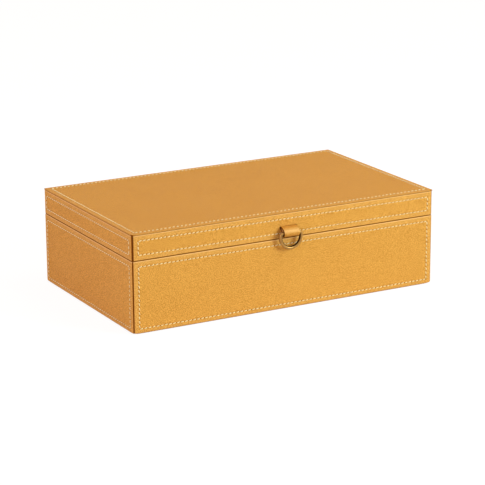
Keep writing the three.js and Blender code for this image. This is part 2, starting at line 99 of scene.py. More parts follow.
class TrunkBoxSizes(bpy.types.PropertyGroup):
    """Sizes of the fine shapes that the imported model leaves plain."""

    leather: length("Leather", "Thickness of the wall leather", 0.0018)
    rim_leather: length("Rim leather", "Thickness where the leather is skived for the rim", 0.0012)
    turn_under: length("Turn-under", "How far the base's leather goes under the box", 0.009)
    foot_round: length("Foot round", "Radius along the foot of the base", 0.003)
    rim_round: length("Rim round", "Radius of the outer edge of both rims", 0.0011)
    rim_inner_round: length("Inner rim round", "Radius of the inner edge of both rims", 0.0007)
    head_round: length("Head round", "Radius of the lid walls' top edge", 0.0008)
    top_round: length("Top edge round", "Radius of the top panel's edges", 0.0004)
    top_corner: length("Top corner round", "Radius of the top panel's corners", 0.0016)
    base_corner: length("Base corner round", "Radius of a base panel's upright edges", 0.0009)
    lid_corner: length("Lid corner round", "Radius of a lid panel's upright edges", 0.00105)
    end_round: length("End round", "Radius of a wrapped panel's ends on the rim", 0.0004)
    base_seam: length("Base seam", "Gap between two base panels at a corner", 0.00025)
    lid_seam: length("Lid seam", "Gap between two lid panels at a corner", 0.0003)
    lining_round: length("Lining round", "Radius of the suede's cut edges", 0.0003)
    glue_gap: length("Glue line", "Gap between a sheet and what it is glued to", 0.00025)
    pitch: length("Stitch pitch", "Distance from one stitch hole to the next", 0.005)
    thread: length("Thread", "Thickness of the waxed thread", 0.00116)
    groove: length("Stitch groove", "Half the width of the groove that the thread lies in", 0.0006)
    groove_depth: length("Groove depth", "Depth of the stitch groove", 0.0003)
    press: length("Press", "How far the foot is pressed up at the box's corners", 0.0011)
    # Reach of the painted highlight below an upper edge
    rub: length("Rub", "How far below an upper edge the leather is rubbed pale", 0.0006)
    foot_row: length("Foot row", "Stitch row above the foot of the base", 0.0061)
    base_rim_row: length("Base rim row", "Stitch row below the base's rim", 0.0067)
    lid_rim_row: length("Lid rim row", "Stitch row above the lid's rim", 0.0061)
    head_row: length("Head row", "Stitch row below the lid walls' top edge", 0.0064)
    corner_row: length("Corner row", "Upright stitch rows from the box's corner", 0.0075)
    top_row: length("Top row", "Stitch row from the edge of the top panel", 0.0066)
    swell: length("Swell", "How far the leather swells beside its stitches", 0.00014)
    wave: length("Wave", "How far the leather is from flat", 0.00008)
    strap: length("Strap", "Thickness of the pull tab's strap", 0.0015)
    wire: length("Ring wire", "Thickness of the ring's wire", 0.004)
    bar_gap: length("Bar gap", "Gap between the ring's bar and the strap", 0.0004)
    ring_corner: length("Ring corner", "Radius of the ring's two corners", 0.003)
    leaf: length("Hinge leaf", "Thickness of a hinge leaf", 0.0016)
    running_gap: length("Running gap", "Gap round a piece that is let in", 0.0003)
    tail_rise: length("Tail rise", "How far the strap's two ends stand above the slit", 0.0075)
    eased: length("Eased edge", "Width of the bevel along a hinge's edges", 0.00015)


class TrunkBoxColours(bpy.types.PropertyGroup):
    """Colours of the leather, the thread, the linings and the brass."""

    tan: colour("Tan", "The leather's own colour", (0.57, 0.25, 0.036))
    tan_pale: colour("Pale tan", "Paler patches of the leather", (0.96, 0.52, 0.108))
    # tan_deep also paints the shade in the grain's creases
    tan_deep: colour("Deep tan", "Leather in the creases of its grain", (0.5, 0.19, 0.023))
    # Half of the dark: half-strength edge paint and painted shade
    toast: colour("Toast", "Leather that is half darkened", (0.4, 0.13, 0.004))
    # Dark brown of the leather's painted cut edges. It is also used for painted shade on the rims,
    # in the stitch holes and at the top panel's corners
    burnish: colour("Burnish", "The leather's darkened cut edges", (0.12, 0.026, 0.001))
    # Painted highlight: the pale colour of the leather's bends and of the tab's band. It also pales
    # the panels' margins outside the stitch rows
    rubbed: colour("Rubbed", "Leather that is rubbed pale on its bends", (0.95, 0.6, 0.22))
    thread: colour("Thread", "Cream waxed thread", (1, 0.91, 0.48))
    suede: colour("Suede", "The suede of the linings", (0.25, 0.13, 0.07))
    suede_pale: colour("Pale suede", "Suede whose nap leans away", (0.33, 0.18, 0.1))
    felt: colour("Felt", "The felt underneath", (0.07, 0.045, 0.03))
    board: colour("Board", "The boards inside the leather", (0.55, 0.39, 0.22))
    brass: colour("Brass", "Antique brass", (0.45, 0.24, 0.07))
    tarnish: colour("Tarnish", "Tarnish in the brass", (0.26, 0.13, 0.035))
    # Painted reflection: the dark brown painted on the ring's rear and inner sides
    dark_reflection_brass: colour("Patina", "Brass that no finger rubs", (0.045, 0.016, 0.003))
    floor: colour("Floor", "The studio floor", (0.82, 0.82, 0.82))


def sizes():
    return bpy.context.scene.trunk_box_sizes


def colours():
    return bpy.context.scene.trunk_box_colours


# Node trees

def add(tree, kind, inputs=None, **settings):
    """A new node with its settings, its inputs given by name as a value or as a socket to link."""
    node = tree.nodes.new(kind)
    for name, value in settings.items():
        setattr(node, name, value)
    for name, value in (inputs or {}).items():
        if isinstance(value, bpy.types.NodeSocket):
            tree.links.new(value, node.inputs[name])
        else:
            node.inputs[name].default_value = value
    return node


def reckon(tree, operation, *values):
    """The result of one sum of numbers and sockets."""
    return add(tree, "ShaderNodeMath", dict(enumerate(values)), operation=operation).outputs[0]


def blend_colours(tree, share, first, second):
    """A colour that goes from first to second as share goes from 0 to 1."""
    node = add(tree, "ShaderNodeMix", {0: share}, data_type="RGBA")
    for socket, value in (("A_Color", first), ("B_Color", second)):
        target = next(s for s in node.inputs if s.identifier == socket)
        if isinstance(value, bpy.types.NodeSocket):
            tree.links.new(value, target)
        else:
            target.default_value = (*value, 1)
    return next(s for s in node.outputs if s.identifier == "Result_Color")


def ramp(tree, value, low, high, start=0, end=1):
    """value from low to high as start to end, eased at both ends."""
    inputs = {"Value": value, "From Min": low, "From Max": high, "To Min": start, "To Max": end}
    return add(tree, "ShaderNodeMapRange", inputs, interpolation_type="SMOOTHSTEP").outputs[0]


def new_group(name, inputs, outputs):
    """An empty shader group with a Vector input, number inputs and number outputs."""
    tree = bpy.data.node_groups.new(name, "ShaderNodeTree")
    face = tree.interface
    face.new_socket(name="Vector", in_out="INPUT", socket_type="NodeSocketVector")
    for label, default in inputs.items():
        made = face.new_socket(name=label, in_out="INPUT", socket_type="NodeSocketFloat")
        made.default_value = default
    for label in outputs:
        face.new_socket(name=label, in_out="OUTPUT", socket_type="NodeSocketFloat")
    return tree, tree.nodes.new("NodeGroupInput").outputs, tree.nodes.new("NodeGroupOutput").inputs


def mottle_group():
    """Soft patches of tone, as in hide, suede and metal that was handled."""
    tree, given, put = new_group("mottle", {"Patches": 30, "Contrast": 1}, ("Tone",))
    middle = 0.5
    cloud = add(tree, "ShaderNodeTexNoise", {
        "Vector": given["Vector"], "Scale": given["Patches"], "Detail": 4, "Roughness": 0.6,
    })
    centred = reckon(tree, "SUBTRACT", cloud.outputs["Fac"], middle)
    spread = reckon(tree, "MULTIPLY", centred, given["Contrast"])
    tone = add(tree, "ShaderNodeMath", {0: spread, 1: middle}, operation="ADD", use_clamp=True)
    tree.links.new(tone.outputs[0], put["Tone"])


def grain_group():
    """Pebbled grain: rounded cells with creases between them, over a finer skin."""
    tree, given, put = new_group("grain", {"Cells": 700, "Fine": 2600}, ("Height", "Crease"))
    sway = 0.0009
    round_share, crease_share, skin_share = 0.45, 0.22, 0.5
    bent = add(tree, "ShaderNodeTexNoise", {"Vector": given["Vector"], "Scale": given["Cells"]})
    shift = add(tree, "ShaderNodeVectorMath", {
        0: bent.outputs["Color"], "Scale": sway,
    }, operation="SCALE")
    place = add(tree, "ShaderNodeVectorMath", {
        0: given["Vector"], 1: shift.outputs[0],
    }, operation="ADD")
    cells = add(tree, "ShaderNodeTexVoronoi", {
        "Vector": place.outputs[0], "Scale": given["Cells"],
    }, feature="DISTANCE_TO_EDGE").outputs["Distance"]
    skin = add(tree, "ShaderNodeTexNoise", {
        "Vector": given["Vector"], "Scale": given["Fine"], "Detail": 2,
    })
    fine = reckon(tree, "MULTIPLY", skin.outputs["Fac"], skin_share)
    height = reckon(tree, "ADD", ramp(tree, cells, 0, round_share), fine)
    tree.links.new(height, put["Height"])
    tree.links.new(ramp(tree, cells, 0, crease_share, 1, 0), put["Crease"])


def nap_group():
    """Short fibres that lie in wandering directions, as on suede, felt and thread."""
    tree, given, put = new_group("nap", {"Fibres": 1800, "Stretch": 3}, ("Height", "Tone"))
    low_share, high_share = 0.3, 0.7
    drift = add(tree, "ShaderNodeTexNoise", {"Vector": given["Vector"], "Scale": 60})
    turned = add(tree, "ShaderNodeVectorRotate", {
        "Vector": given["Vector"], "Angle": drift.outputs["Fac"],
    }, rotation_type="Y_AXIS")
    pulled = add(tree, "ShaderNodeCombineXYZ", {0: given["Stretch"], 1: 1, 2: 1})
    along = add(tree, "ShaderNodeVectorMath", {
        0: turned.outputs[0], 1: pulled.outputs[0],
    }, operation="DIVIDE")
    fibre = add(tree, "ShaderNodeTexNoise", {
        "Vector": along.outputs[0], "Scale": given["Fibres"], "Detail": 3,
    }).outputs["Fac"]
    tree.links.new(fibre, put["Height"])
    tree.links.new(ramp(tree, fibre, low_share, high_share), put["Tone"])


def use_group(tree, name, vector, **inputs):
    """One of the groups above, placed in a material with its own values."""
    inputs["Vector"] = vector
    return add(tree, "ShaderNodeGroup", inputs, node_tree=bpy.data.node_groups[name]).outputs


def finish_name(slot):
    return f"{slot}_finish"


def new_material(slot, **constants):
    """A material with its shader, and the place on the piece that its patterns read."""
    material = bpy.data.materials.new(finish_name(slot))
    material.use_nodes = True
    tree = material.node_tree
    shader = tree.nodes["Principled BSDF"]
    for label, value in constants.items():
        shader.inputs[label.replace("_", " ")].default_value = value
    place = add(tree, "ShaderNodeTexCoord").outputs["Object"]
    return material, tree, shader.inputs, place


def coat(tree, target, skin, height, depth=1):
    """Feeds a shader its colour, and a relief whose depth is given in millimetres."""
    millimetre = 0.001
    relief = add(tree, "ShaderNodeBump", {"Height": height, "Distance": depth * millimetre})
    tree.links.new(skin, target["Base Color"])
    tree.links.new(relief.outputs[0], target["Normal"])


def mesh_mask(tree, name):
    """A mask that the mesh carries for its finish."""
    return add(tree, "ShaderNodeAttribute", attribute_name=name).outputs["Fac"]


def stitch_masks(tree):
    """1 in a stitch hole, and 1 outside the rows.
    The stitch_line map counts pitches along the nearest row and across it."""
    hole_share, rim_share, half_share = 0.05, 0.13, 0.5
    line = add(tree, "ShaderNodeUVMap", uv_map="stitch_line").outputs[0]
    split = add(tree, "ShaderNodeSeparateXYZ", {0: line}).outputs
    along = reckon(tree, "PINGPONG", split[0], half_share)
    across = reckon(tree, "MULTIPLY", split[1], split[1])
    away = reckon(tree, "SQRT", reckon(tree, "MULTIPLY_ADD", along, along, across))
    hole = ramp(tree, away, hole_share, rim_share, 1, 0)
    return hole, ramp(tree, split[1], rim_share, half_share)


def leather_material():
    paint = colours()
    material, tree, target, place = new_material("leather", Specular_IOR_Level=0.06)
    speck_share, patch_share, crease_share, margin_share = 0.88, 0.12, 0.16, 0.12
    wear_and_sheen_share, hole_share, toast_share = 0.75, 0.75, 0.5
    satin_share, rough_share = 0.5, 0.62
    # Heights in millimetres
    lump, pebble, hole_depth = 0.07, 0.05, 0.3
    patches = use_group(tree, "mottle", place, Patches=24, Contrast=1.3)["Tone"]
    specks = use_group(tree, "mottle", place, Patches=1150, Contrast=9)["Tone"]
    grain = use_group(tree, "grain", place, Cells=620, Fine=2800)
    hole, margin = stitch_masks(tree)
    patches = reckon(tree, "MULTIPLY", patches, patch_share)
    tone = reckon(tree, "MULTIPLY_ADD", specks, speck_share, patches)
    skin = blend_colours(tree, tone, paint.tan, paint.tan_pale)
    # Painted shade darkens the grain's creases
    crease = reckon(tree, "MULTIPLY", grain["Crease"], crease_share)
    skin = blend_colours(tree, crease, skin, paint.tan_deep)
    # Painted highlight on the bends that the mesh marks, broken up by the specks. The margin
    # outside the stitch rows is paled with the same colour
    wear_and_sheen = ramp(tree, specks, 0, 1, wear_and_sheen_share, 1)
    rubbed = reckon(tree, "MULTIPLY", mesh_mask(tree, "rubbed"), wear_and_sheen)
    pale = reckon(tree, "MAXIMUM", rubbed, reckon(tree, "MULTIPLY", margin, margin_share))
    skin = blend_colours(tree, pale, skin, paint.rubbed)
    # Darkening in two steps, through toast to the dark brown. It gives dark edge paint on cut edges
    # and ends, and painted shade in the stitch holes, on the rims, at the top panel's corners and
    # over the tab
    holes = reckon(tree, "MULTIPLY", hole, hole_share)
    dark = reckon(tree, "MAXIMUM", mesh_mask(tree, "burnished"), holes)
    dark = reckon(tree, "MAXIMUM", dark, mesh_mask(tree, "cut"))
    skin = blend_colours(tree, ramp(tree, dark, 0, toast_share), skin, paint.toast)
    skin = blend_colours(tree, ramp(tree, dark, toast_share, 1), skin, paint.burnish)
    tree.links.new(ramp(tree, specks, 0, 1, satin_share, rough_share), target["Roughness"])
    lumps = reckon(tree, "MULTIPLY", specks, lump)
    relief = reckon(tree, "MULTIPLY_ADD", grain["Height"], pebble, lumps)
    coat(tree, target, skin, reckon(tree, "MULTIPLY_ADD", hole, -hole_depth, relief))
    return material


def thread_material():
    material, tree, target, place = new_material("thread", Roughness=0.55)
    shade_share, fibre = 0.25, 0.05
    nap = use_group(tree, "nap", place, Fibres=4200, Stretch=4)
    paint = colours()
    shade = blend_colours(tree, shade_share, paint.thread, paint.tan_deep)
    dye = blend_colours(tree, nap["Tone"], shade, paint.thread)
    coat(tree, target, dye, nap["Height"], fibre)
    return material


def suede_material():
    material, tree, target, place = new_material("suede", Roughness=0.95, Sheen_Weight=0.15)
    nap_share, stroke_share, fibre = 0.35, 0.65, 0.12
    strokes = use_group(tree, "mottle", place, Patches=18, Contrast=2.8)["Tone"]
    nap = use_group(tree, "nap", place, Fibres=2200, Stretch=3)
    paint = colours()
    strokes = reckon(tree, "MULTIPLY", strokes, stroke_share)
    tone = reckon(tree, "MULTIPLY_ADD", nap["Tone"], nap_share, strokes)
    dye = blend_colours(tree, tone, paint.suede, paint.suede_pale)
    coat(tree, target, dye, nap["Height"], fibre)
    return material


def felt_material():
    material, tree, target, place = new_material("felt", Roughness=1, Sheen_Weight=0.5)
    wear_and_sheen_share, fibre = 0.3, 0.35
    nap = use_group(tree, "nap", place, Fibres=1100, Stretch=2)
    clumps = use_group(tree, "mottle", place, Patches=140, Contrast=1.5)["Tone"]
    paint = colours()
    wear_and_sheen = blend_colours(tree, wear_and_sheen_share, paint.felt, paint.suede)
    tone = reckon(tree, "MULTIPLY", nap["Tone"], clumps)
    coat(tree, target, blend_colours(tree, tone, paint.felt, wear_and_sheen), nap["Height"], fibre)
    return material


def board_material():
    material, tree, target, place = new_material("board", Roughness=0.8)
    along_share, deep_share, flake = 0.08, 0.45, 0.05
    stretch = add(tree, "ShaderNodeVectorMath", {
        0: place, 1: (along_share, 1, 1),
    }, operation="MULTIPLY")
    rings = add(tree, "ShaderNodeTexWave", {
        "Vector": stretch.outputs[0], "Scale": 90, "Distortion": 6, "Detail": 3,
    }, bands_direction="DIAGONAL")
    flecks = use_group(tree, "mottle", place, Patches=600, Contrast=1.4)["Tone"]
    paint = colours()
    deep = blend_colours(tree, deep_share, paint.board, paint.tan_deep)
    tone = reckon(tree, "MULTIPLY", rings.outputs["Fac"], flecks)
    coat(tree, target, blend_colours(tree, tone, paint.board, deep), tone, flake)
    return material


def brass_material():
    material, tree, target, place = new_material("brass", Metallic=1)
    low_share, high_share = 0.1, 0.75
    polish_share, scuff_share, dull_share, scratch = 0.24, 0.1, 0.2, 0.012
    patches = use_group(tree, "mottle", place, Patches=160, Contrast=1.3)["Tone"]
    scuffs = use_group(tree, "mottle", place, Patches=2400, Contrast=1.6)["Tone"]
    paint = colours()
    # Painted reflection: the wire's rear and inner sides are darkened and made duller
    tarnished = mesh_mask(tree, "tarnished")
    tone = ramp(tree, patches, low_share, high_share)
    metal = blend_colours(tree, tone, paint.tarnish, paint.brass)
    metal = blend_colours(tree, tarnished, metal, paint.dark_reflection_brass)
    rough = reckon(tree, "MULTIPLY_ADD", scuffs, scuff_share, polish_share)
    tree.links.new(reckon(tree, "MULTIPLY_ADD", tarnished, dull_share, rough), target["Roughness"])
    coat(tree, target, metal, scuffs, scratch)
    return material


MATERIALS = {
    "leather": leather_material,
    "thread": thread_material,
    "suede": suede_material,
    "felt": felt_material,
    "board": board_material,
    "brass": brass_material,
}


def finish(slot):
    """The material of one of the record's slots, made when it is first asked for."""
    if "mottle" not in bpy.data.node_groups:
        mottle_group()
        grain_group()
        nap_group()
    return bpy.data.materials.get(finish_name(slot)) or MATERIALS[slot]()


# Meshes

def new_piece(name, body, slot, verts, faces, placing, node=None, **masks):
    """A closed mesh in the row frame that hangs on its body, with its finish and the masks that
    the finish reads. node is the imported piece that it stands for, if there is one."""
    mesh = bpy.data.meshes.new(name)
    mesh.from_pydata(verts, [], faces)
    for mask, values in masks.items():
        mesh.attributes.new(mask, "FLOAT", "POINT").data.foreach_set("value", values)
    tidy = bmesh.new()
    tidy.from_mesh(mesh)
    closest = 1e-6
    bmesh.ops.remove_doubles(tidy, verts=tidy.verts, dist=closest)
    bmesh.ops.dissolve_degenerate(tidy, edges=tidy.edges, dist=closest)
    bmesh.ops.recalc_face_normals(tidy, faces=tidy.faces)
    tidy.to_mesh(mesh)
    tidy.free()
    piece = bpy.data.objects.new(name, mesh)
    bpy.context.scene.collection.objects.link(piece)
    mesh.transform(placing)
    mesh.materials.append(finish(slot))
    smooth(mesh)
    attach(piece, body)
    if node:
        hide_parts(node)
    return piece


def smooth(mesh):
    mesh.shade_smooth()
    mesh.set_sharp_from_angle(angle=SHARP)


def cut(piece, low, high):
    """Cuts a block out of a piece."""
    cutter = bpy.data.objects.new("cutter", bpy.data.meshes.new("cutter"))
    shape = bmesh.new()
    size = Vector(high) - Vector(low)
    middle = (Vector(high) + Vector(low)) / 2
    bmesh.ops.create_cube(shape, size=1, matrix=Matrix.LocRotScale(middle, None, size))
    shape.to_mesh(cutter.data)
    shape.free()
    bpy.context.scene.collection.objects.link(cutter)
    modifier = piece.modifiers.new("recess", "BOOLEAN")
    modifier.object = cutter
    modifier.operation = "DIFFERENCE"
    bpy.context.view_layer.update()
    worked = piece.evaluated_get(bpy.context.evaluated_depsgraph_get())
    mesh = bpy.data.meshes.new_from_object(worked)
    piece.modifiers.clear()
    piece.data = mesh
    smooth(mesh)
    bpy.data.objects.remove(cutter)
    darken_cut(mesh, Vector(low), Vector(high))


def darken_cut(mesh, low, high):
    """Marks the faces that a block left behind, for the finish."""
    mark = mesh.attributes.get("cut") or mesh.attributes.new("cut", "FLOAT", "CORNER")
    hair = 1e-5
    margin = Vector((hair, hair, hair))
    low, high = low - margin, high + margin
    inside = [all(a <= c <= b for a, c, b in zip(low, vert.co, high)) for vert in mesh.vertices]
    for face in mesh.polygons:
        if all(inside[v] for v in face.vertices):
            for loop in face.loop_indices:
                mark.data[loop].value = 1


def grid_faces(at):
    """Quads between the numbers of a grid of vertices."""
    corners = (at[:-1, :-1], at[:-1, 1:], at[1:, 1:], at[1:, :-1])
    return np.stack(corners, -1).reshape(-1, 4).tolist()


def tube_faces(at):
    """Quads round a tube and a face on each end. Each row of at numbers one ring."""
    after = np.roll(at, -1, 1)
    quads = np.stack((at[:-1], after[:-1], after[1:], at[1:]), -1).reshape(-1, 4).tolist()
    return [*quads, tuple(at[0][::-1]), tuple(at[-1])]


def spaced(low, high, step):
    """Even places from low to high, about a step apart."""
    return np.linspace(low, high, max(2, round(abs(high - low) / step) + 1))


def stops(low, high, step, rows=()):
    """Places from low to high, closer together at the stitch rows."""
    shares = (-3, -2, -1.4, -1, -0.6, -0.3, 0, 0.3, 0.6, 1, 1.4, 2, 3)
    groove = sizes().groove
    reach = groove * max(shares)
    near = [row + share * groove for row in rows for share in shares]
    far = [s for s in spaced(low, high, step)[1:-1] if all(abs(s - row) > reach for row in rows)]
    inside = sorted(s for s in (*near, *far) if low + groove / 2 < s < high - groove / 2)
    return np.array([low, *inside, high])


class Section:
    """The outer line of a sheet that wraps a wall, in depth from the outer face and in height.
    core holds the lowest and highest depth and height of what the sheet wraps."""

    def __init__(self, core):
        self.core = core
        self.points = []
        self.facing = []

    def run(self, start, end, facing, step, rows=()):
        """A straight stretch. The rows are heights that need closer points."""
        start, end = np.array(start), np.array(end)
        span = np.linalg.norm(end - start)
        marks = stops(0, span, step, [abs(row - start[1]) for row in rows])
        for mark in marks[1:] if self.points else marks:
            self.points.append(start + (end - start) * mark / span)
            self.facing.append(facing)

    def bend(self, centre, radius, start, end, steps=7):
        """An arc between two directions, given as turns from facing inwards to facing up."""
        for angle in np.linspace(start, end, steps)[1:]:
            facing = np.array((math.cos(angle), math.sin(angle)))
            self.points.append(np.array(centre) + radius * facing)
            self.facing.append(facing)

    def inner(self):
        (low_depth, low_height), (high_depth, high_height) = self.core
        points = np.array(self.points)
        depth = np.clip(points[:, 0], low_depth, high_depth)
        return depth, np.clip(points[:, 1], low_height, high_height)


def wall_placing(side):
    turn, out = WALLS[side]
    reach = Vector((out.x * WIDTH / 2, out.y * DEPTH / 2, 0))
    return Matrix.Translation(reach) @ Matrix.Rotation(turn, 4, "Z")


def wall_length(side):
    return WIDTH if WALLS[side][1].x == 0 else DEPTH


def wrap_faces(rows, across):
    """Faces of a wrapped wall: the grid of its outer side, and the plain side behind it,
    whose left and right columns of vertices come after the grid's."""
    at = np.arange(rows * across).reshape(rows, across)
    to_left, to_right = rows * across + np.arange(2 * rows).reshape(2, rows)
    faces = grid_faces(at)
    for j in range(rows - 1):
        faces.append((to_left[j], to_left[j + 1], to_right[j + 1], to_right[j]))
        faces.append((at[j, -1], to_right[j], to_right[j + 1], at[j + 1, -1]))
        faces.append((at[j, 0], at[j + 1, 0], to_left[j + 1], to_left[j]))
    for j in (0, rows - 1):
        faces.append((*at[j], to_right[j], to_left[j]))
    return faces


def wrap_wall(section, span, seam, corner, columns, relief):
    """Runs a section along a wall to its two mitres, whose arrises are rounded.
    Returns vertices, faces, how far each vertex is turned into the mitre and its point's number."""
    end_round = sizes().end_round
    points, facing = np.array(section.points), np.array(section.facing)
    depth, height = points[:, :1], points[:, 1:]
    into, up = facing[:, :1], facing[:, 1:]
    outwards = np.clip(-into, 0, 1)
    radius = end_round + (corner - end_round) * outwards**2
    mitre = span / 2 - seam / ROOT_TWO
    start = mitre - depth + radius * (into - ROOT_TWO)
    face_start = mitre - corner * (1 + ROOT_TWO)
    flat, last = columns
    zone = (np.array(last) - flat[-1]) / (face_start - flat[-1])
    run_out = flat[-1] + zone[1:] * (start - flat[-1])
    turn = np.arccos(into / ROOT_TWO)
    angle = turn * np.linspace(0, 1, MITRE_POINTS)[1:]
    first = np.sin(turn - angle) / np.sin(turn)
    second = np.sin(angle) / np.sin(turn) / ROOT_TWO

    def along(middle, before, rounded, mirror=1):
        """Values for a whole wall: those of the middle, and those of the run-out and the round
        that end it on the right, mirrored on the left."""
        end = np.hstack((np.broadcast_to(before, run_out.shape), rounded))
        middle = np.broadcast_to(middle, (len(points), len(flat)))
        return np.hstack((mirror * end[:, ::-1], middle, end))

    x = along(flat, run_out, start + radius * second, -1)
    y = along(depth, depth, depth + radius * (into * (first - 1) + second))
    z = along(height, height, height + radius * up * (first - 1))
    edge = along(0, 0, angle / QUARTER)
    y = y - along(1, 1, np.maximum(first, 0)) * outwards * relief(x, z)
    rows, across = x.shape
    inner_depth, inner_height = section.inner()
    inner_x = mitre - inner_depth
    outer = np.dstack((x, y, z)).reshape(-1, 3)
    left = np.column_stack((-inner_x, inner_depth, inner_height))
    right = np.column_stack((inner_x, inner_depth, inner_height))
    verts = np.vstack((outer, left, right))
    turned = np.concatenate((edge.ravel(), np.full(2 * rows, edge.max())))
    numbers = np.arange(rows)
    point = np.concatenate((np.repeat(numbers, across), numbers, numbers))
    return verts, wrap_faces(rows, across), turned, point


def wall_columns(span, seam, corner, row_inset):
    """Places along half a wall: even ones in the middle, and closer ones near the end."""
    step = sizes().pitch
    zone_share = 2.5
    end_zone = zone_share * row_inset
    flat = spaced(end_zone - span / 2, span / 2 - end_zone, step)
    end = span / 2 - seam / ROOT_TWO - corner * (1 + ROOT_TWO)
    last = stops(flat[-1], end, step / 2, (span / 2 - row_inset,))
    return flat, last


# Stitching

class Rows:
    """A rectangle of stitching on a panel, in the panel's own frame: x and y lie in its face."""

    def __init__(self, half_x, low, high):
        self.half_x = half_x
        self.middle = (low + high) / 2
        self.half_y = (high - low) / 2

    def distance(self, x, y):
        """How far outside the rectangle a place is, or inside it where that is below 0."""
        return np.maximum(np.abs(x) - self.half_x, np.abs(y - self.middle) - self.half_y)

    def count(self, half):
        return max(1, round(2 * half / sizes().pitch))

    def sides(self):
        """Each side's first hole, its direction, its number of stitches and their pitch."""
        wide, tall = self.half_x, self.half_y
        across, along = self.count(tall), self.count(wide)
        return (
            ((-wide, self.middle - tall), (1, 0), along, 2 * wide / along),
            ((wide, self.middle - tall), (0, 1), across, 2 * tall / across),
            ((wide, self.middle + tall), (-1, 0), along, 2 * wide / along),
            ((-wide, self.middle + tall), (0, -1), across, 2 * tall / across),
        )


def slow_waves(seed, count, lowest, highest):
    """A few waves over a face, between -1 and 1. Their rates are in radians per metre."""
    draw = np.random.default_rng(seed)
    waves = [(draw.uniform(lowest, highest), draw.uniform(0, math.pi), draw.uniform(0, 2 * math.pi))
             for _ in range(count)]

    def height(x, y):
        return sum(np.sin(rate * (x * math.cos(way) + y * math.sin(way)) + phase)
                   for rate, way, phase in waves) / len(waves)

    return height


def hump(away, middle, reach):
    """1 in the middle, and smoothly less over the reach."""
    return np.exp(-(((away - middle) / reach) ** 2))


def panel_relief(rows, seed):
    """Height of a stitched panel's face: its stitch groove, the swell beside it, and slow waves."""
    size = sizes()
    groove = size.groove
    outer_share, outer_reach_share, inner_share, inner_reach_share = 3, 2, -4, 3
    waves = slow_waves(seed, count=6, lowest=60, highest=160)

    def height(x, y):
        away = rows.distance(x, y)
        outer = hump(away, outer_share * groove, outer_reach_share * groove)
        inner = hump(away, inner_share * groove, inner_reach_share * groove)
        stitched = size.swell * (outer + inner) - size.groove_depth * hump(away, 0, groove)
        return stitched + size.wave * waves(x, y) * np.clip(-away / size.pitch, 0, 1)

    return height


def map_stitch_line(mesh, placing, rows):
    """A map that counts pitches along the nearest stitch row and across it, for the holes."""
    size = sizes()
    deep_share = 4
    back = np.array(placing.inverted())
    count = len(mesh.vertices)
    places = np.empty(3 * count)
    mesh.vertices.foreach_get("co", places)
    places = places.reshape(-1, 3) @ back[:3, :3].T + back[:3, 3]
    owner = np.empty(len(mesh.loops), int)
    mesh.loops.foreach_get("vertex_index", owner)
    totals = np.empty(len(mesh.polygons), int)
    mesh.polygons.foreach_get("loop_total", totals)
    polygon = np.repeat(np.arange(len(totals)), totals)
    corner = places[owner]
    centre = np.add.reduceat(corner, np.concatenate(([0], np.cumsum(totals)[:-1])))
    centre = (centre / totals[:, None])[polygon]
    upright = np.abs(centre[:, 0]) - rows.half_x > np.abs(centre[:, 1] - rows.middle) - rows.half_y
    (*_, long_pitch), (*_, tall_pitch) = rows.sides()[:2]
    x, y = corner[:, 0], corner[:, 1] - rows.middle
    along = np.where(upright, (y + rows.half_y) / tall_pitch, (x + rows.half_x) / long_pitch)
    across = np.where(upright, np.abs(x) - rows.half_x, np.abs(y) - rows.half_y) / size.pitch
    deep = corner[:, 2] < -deep_share * size.groove_depth
    across = np.where(deep, FAR, across)
    layer = mesh.uv_layers.new(name="stitch_line")
    layer.data.foreach_set("uv", np.column_stack((along, across)).ravel())


def one_stitch():
    """A stitch of two twisted plies from hole to hole, 1 long, as rings of a unit thread."""
    rings, sides = 9, 8
    ply_share, twist, flat_share, tip_share = 0.16, 3.2, 0.8, 0.55
    tip_power, arch_power = 0.5, 0.6
    t = np.linspace(0, 1, rings)[:, None]
    around = np.linspace(0, 2 * math.pi, sides, endpoint=False)[None, :]
    lobe = 1 + ply_share * np.cos(2 * (around - twist * t))
    radius = lobe * (tip_share + (1 - tip_share) * np.sin(math.pi * t) ** tip_power) / 2
    side = radius * np.cos(around)
    rise = radius * np.sin(around) * flat_share
    arch = np.broadcast_to(np.sin(math.pi * t) ** arch_power, side.shape)
    along = np.broadcast_to(t, side.shape)
    faces = tube_faces(np.arange(rings * sides).reshape(rings, sides))
    return along.ravel(), side.ravel(), rise.ravel(), arch.ravel(), faces


def stitches(name, rows, placing, body, seed):
    """All the stitches of one panel, each a little different in slant and in height."""
    thread = sizes().thread
    draw = np.random.default_rng(seed)
    length_share, slant_share, slant_spread_share = 0.72, 0.09, 0.015
    sunk_share, sunk_spread_share, arch_share, half_share = 0.45, 0.08, 0.75, 0.5
    along, side, rise, arch, unit_faces = one_stitch()
    verts, faces = [], []
    for (x, y), (dx, dy), count, pitch in rows.sides():
        for i in range(count):
            slant = draw.normal(slant_share, slant_spread_share) * (2 * along - 1) * pitch
            sunk = sunk_share + draw.normal(0, sunk_spread_share)
            travel = (i + half_share + (along - half_share) * length_share) * pitch
            off = side * thread + slant
            height = (rise - sunk + arch_share * arch) * thread
            first = len(verts) * len(along)
            place_x, place_y = x + dx * travel - dy * off, y + dy * travel + dx * off
            verts.append(np.column_stack((place_x, place_y, height)))
            faces += [tuple(first + v for v in face) for face in unit_faces]
    new_piece(name, body, "thread", np.vstack(verts), faces, placing)


# A panel's own frame has its outer face at z = 0
UPRIGHT = Matrix.Rotation(QUARTER, 4, "X")


def dress_panel(piece, part, body, rows, placing, seed):
    """Maps a panel's stitch rows for the holes in its finish, and sews it."""
    map_stitch_line(piece.data, placing, rows)
    stitches(f"{part}_stitches", rows, placing, body, seed)


# Leather

